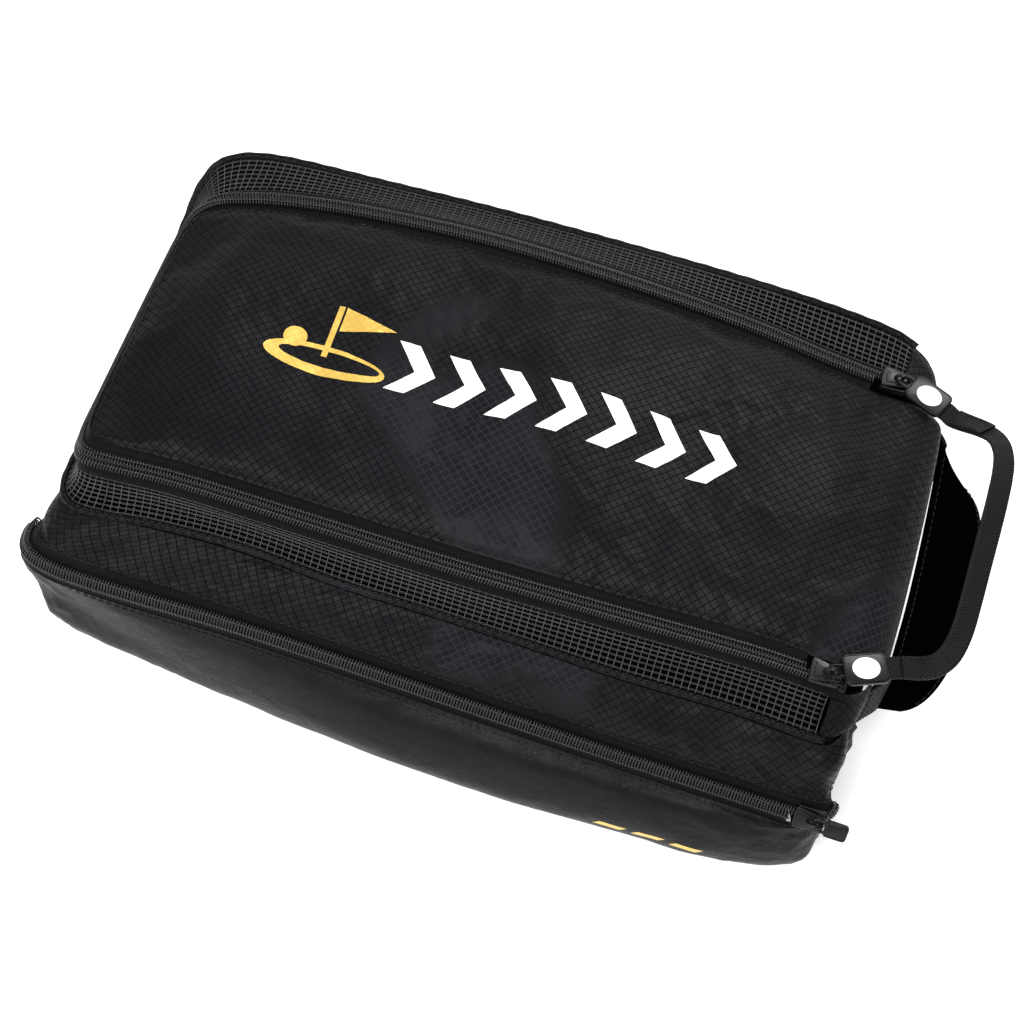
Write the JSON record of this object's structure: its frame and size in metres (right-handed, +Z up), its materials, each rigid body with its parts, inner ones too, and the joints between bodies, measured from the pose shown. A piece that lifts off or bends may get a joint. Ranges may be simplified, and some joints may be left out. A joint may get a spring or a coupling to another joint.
{
  "type": "golf shoe bag",
  "caption": "Soft golf shoe bag lying on its back, with a zip-round flap, net side strips, a leather-look zipped pocket and a webbing carry handle.",
  "frame": {"origin": "middle of the face the bag rests on, under its back panel", "axes": "+Z up out of the flap, +X towards the handle end, -Y towards the leather-look pocket"},
  "size_m": [0.3985, 0.248, 0.1318],
  "materials": {
    "ripstop": "black ripstop, satin",
    "net": "black open net",
    "coil": "black nylon coil",
    "tape": "black twill tape",
    "leather": "black grained faux leather, satin",
    "webbing": "black ribbed webbing",
    "slider": "gloss black",
    "pull": "gloss black",
    "badge": "plain white",
    "lining": "black woven lining"
  },
  "bodies": {
    "bag": {"back_panel": "ripstop", "end_corner_far": "ripstop", "end_corner_near": "ripstop", "far_wall": "ripstop", "handle_cover": "ripstop", "handle_tab_far": "webbing", "handle_tab_near": "webbing", "handle_wall": "ripstop", "main_coil_bag": "coil", "main_tape_bag": "tape", "main_zip_stops": "slider", "mesh_far": "net", "mesh_near": "net", "mesh_toe": "net", "piping_far": "ripstop", "piping_near": "ripstop", "piping_toe": "ripstop", "pocket_coil_bag": "coil", "pocket_divider": "lining", "pocket_end_handle": "ripstop", "pocket_end_toe": "ripstop", "pocket_gusset": "ripstop", "pocket_tape_bag": "tape", "toe_wall": "ripstop"},
    "flap": {"flap_panel": "ripstop", "main_tape_flap": "tape", "main_coil_flap": "coil"},
    "main_sliders": {"main_slider_near": "slider", "main_slider_far": "slider"},
    "pull_set": {"pull_near": "pull", "pull_far": "pull", "badge_near": "badge", "badge_far": "badge", "pull_strap": "webbing"},
    "pocket_front": {"pocket_panel": "leather", "pocket_tape_panel": "tape", "pocket_coil_panel": "coil"},
    "pocket_slider_body": {"pocket_slider": "slider"},
    "pocket_pull_body": {"pocket_pull": "slider"},
    "handle": {"carry_handle": "webbing"}
  },
  "joints": [
    {"name": "flap_hinge", "type": "hinge", "parent": "bag", "child": "flap", "pos_m": [0.147, 0, 0.13], "axis": [0, 1, 0], "range_deg": [0, 150]},
    {"name": "main_zip_slide", "type": "slide", "parent": "bag", "child": "main_sliders", "axis": [-1, 0, 0], "range_m": [0, 0.285]},
    {"name": "pull_hinge", "type": "hinge", "parent": "main_sliders", "child": "pull_set", "pos_m": [0.158, -0.083, 0.1185], "axis": [0, -0.999, 0.044], "range_deg": [0, 100]},
    {"name": "pocket_hinge", "type": "hinge", "parent": "bag", "child": "pocket_front", "pos_m": [0, -0.112, 0.0045], "axis": [1, 0, 0], "range_deg": [0, 50]},
    {"name": "pocket_zip_slide", "type": "slide", "parent": "bag", "child": "pocket_slider_body", "axis": [-0.9995, 0, 0.0312], "range_m": [0, 0.285]},
    {"name": "pocket_pull_hinge", "type": "hinge", "parent": "pocket_slider_body", "child": "pocket_pull_body", "pos_m": [0.171, -0.12376, 0.06289], "axis": [-0.027, -0.4998, -0.8657], "range_deg": [0, 110]},
    {"name": "handle_hinge", "type": "hinge", "parent": "bag", "child": "handle", "pos_m": [0.184, 0, 0.08], "axis": [0, 1, 0], "range_deg": [-15, 30]}
  ]
}
